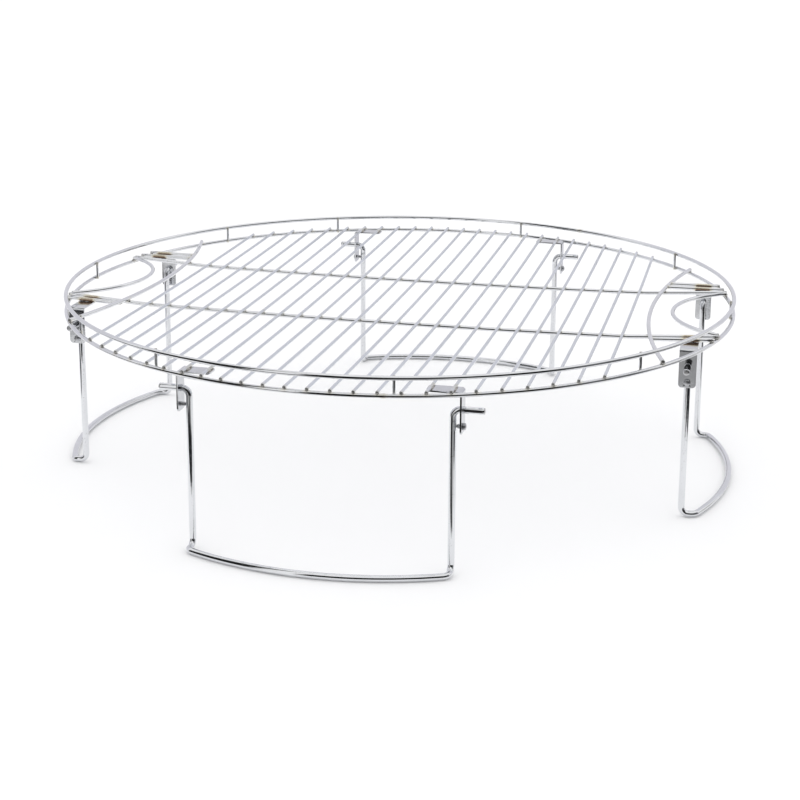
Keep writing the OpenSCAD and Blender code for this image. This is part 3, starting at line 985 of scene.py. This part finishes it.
def studio_world():
    """A white tent with dark gaps low in its walls, which give the bright wires their dark lines."""
    world = bpy.data.worlds.new("studio")
    bpy.context.scene.world = world
    world.use_nodes = True
    tree = world.node_tree
    tree.nodes.clear()
    direction = node(tree, "ShaderNodeTexCoord").outputs["Generated"]
    x, y, z = node(tree, "ShaderNodeSeparateXYZ", {0: direction}).outputs
    top = mixed(tree, around_studio(tree, x, y, TALL_WALL),
                smooth_step(tree, z, *WALL_TOP), smooth_step(tree, z, *TALL_WALL_TOP))
    seen = mixed(tree, top, around_studio(tree, x, y, WALL_COLOURS), WHITE)
    low = less(tree, 1.0, smooth_step(tree, z, *LINE_TOP))
    line = times(tree, around_studio(tree, x, y, LINED_WALL), low)
    seen = mixed(tree, line, seen, LINE_COLOUR)
    shine = node(tree, "ShaderNodeBackground", {"Color": seen, "Strength": 1.0})
    plain = node(tree, "ShaderNodeBackground", {"Color": (1, 1, 1, 1), "Strength": 1.15})
    glossy = node(tree, "ShaderNodeLightPath").outputs["Is Glossy Ray"]
    blend = node(tree, "ShaderNodeMixShader", {0: glossy, 1: plain.outputs[0], 2: shine.outputs[0]})
    node(tree, "ShaderNodeOutputWorld", {"Surface": blend.outputs[0]})


# The floor as the bright wires show it: white out to these distances from the middle, and dark past them
FLOOR_HALF = 30
WHITE_AHEAD = (0.295, 0.325)
WHITE_BEHIND = (0.45, 0.60)
WHITE_RIGHT = (0.35, 0.39)
WHITE_LEFT = (0.39, 0.43)
DARK_FLOOR = (0.02, 0.02, 0.022)
# Lighter patches in the dark, as (x, y, inner radius, outer radius, grey)
PATCHES = [(0.19, -0.47, 0.08, 0.16, 0.42), (0.21, -0.31, 0.05, 0.10, 0.80), (-0.37, -0.39, 0.05, 0.09, 0.95)]
# Where the walls' colours start on the floor, and how flat a ray is that sees them in any part of it
WALLS_AHEAD = (0.45, 0.52)
WALLS_BEHIND = (-0.1, 0.1)
GRAZING = (0.17, 0.21)


def floor_in_wires(tree):
    """The floor's colour in the bright wires, and how far it replaces the pale floor (0 to 1)."""
    spot = node(tree, "ShaderNodeNewGeometry").outputs["Position"]
    x, y, _ = node(tree, "ShaderNodeSeparateXYZ", {0: spot}).outputs
    ca, sa = math.cos(CAMERA_AZIMUTH), math.sin(CAMERA_AZIMUTH)
    ahead = less(tree, times(tree, x, sa), times(tree, y, ca))
    right = plus(tree, times(tree, x, ca), times(tree, y, sa))
    behind, left = times(tree, ahead, -1), times(tree, right, -1)
    edge = larger(tree, smooth_step(tree, ahead, *WHITE_AHEAD), smooth_step(tree, behind, *WHITE_BEHIND))
    edge = larger(tree, edge, smooth_step(tree, right, *WHITE_RIGHT))
    edge = larger(tree, edge, smooth_step(tree, left, *WHITE_LEFT))

    far = larger(tree, smooth_step(tree, ahead, *WALLS_AHEAD), smooth_step(tree, behind, *WALLS_BEHIND))
    walls = around_studio(tree, x, plus(tree, y, RACK_R), WALL_COLOURS)
    colour = mixed(tree, far, DARK_FLOOR, walls)
    for patch_x, patch_y, inner, outer, tone in PATCHES:
        away = node(tree, "ShaderNodeVectorMath", {0: spot, 1: (patch_x, patch_y, 0)}, operation="DISTANCE")
        patch = less(tree, 1.0, smooth_step(tree, away.outputs["Value"], inner, outer))
        colour = mixed(tree, patch, colour, grey(tone))

    incoming = node(tree, "ShaderNodeNewGeometry").outputs["Incoming"]
    ray_x, ray_y, ray_z = node(tree, "ShaderNodeSeparateXYZ", {0: incoming}).outputs
    grazing = less(tree, 1.0, smooth_step(tree, ray_z, *GRAZING))
    beyond = around_studio(tree, times(tree, ray_x, -1), times(tree, ray_y, -1), WALL_COLOURS)
    return mixed(tree, grazing, colour, beyond), larger(tree, edge, grazing)


def floor():
    """A pale floor. In the wires' reflections it ends close around the rack, where the studio begins."""
    mesh = bpy.data.meshes.new("floor")
    corners = [(sx * FLOOR_HALF, sy * FLOOR_HALF, 0) for sx, sy in ((-1, -1), (1, -1), (1, 1), (-1, 1))]
    mesh.from_pydata(corners, [], [(0, 1, 2, 3)])
    material, tree = shader("pale_floor")
    pale = node(tree, "ShaderNodeBsdfPrincipled",
                {"Base Color": (0.93, 0.93, 0.94, 1), "Roughness": 0.9, "Specular IOR Level": 0.1})
    colour, share = floor_in_wires(tree)
    glow = node(tree, "ShaderNodeEmission", {"Color": colour})
    glossy = node(tree, "ShaderNodeLightPath").outputs["Is Glossy Ray"]
    surface = node(tree, "ShaderNodeMixShader",
                   {0: times(tree, share, glossy), 1: pale.outputs[0], 2: glow.outputs[0]})
    node(tree, "ShaderNodeOutputMaterial", {"Surface": surface.outputs[0]})
    mesh.materials.append(material)
    obj = bpy.data.objects.new("floor", mesh)
    obj.location.z = -0.0002
    bpy.context.scene.collection.objects.link(obj)


camera()
floor()
studio_world()
bpy.context.scene.view_settings.view_transform = "Standard"
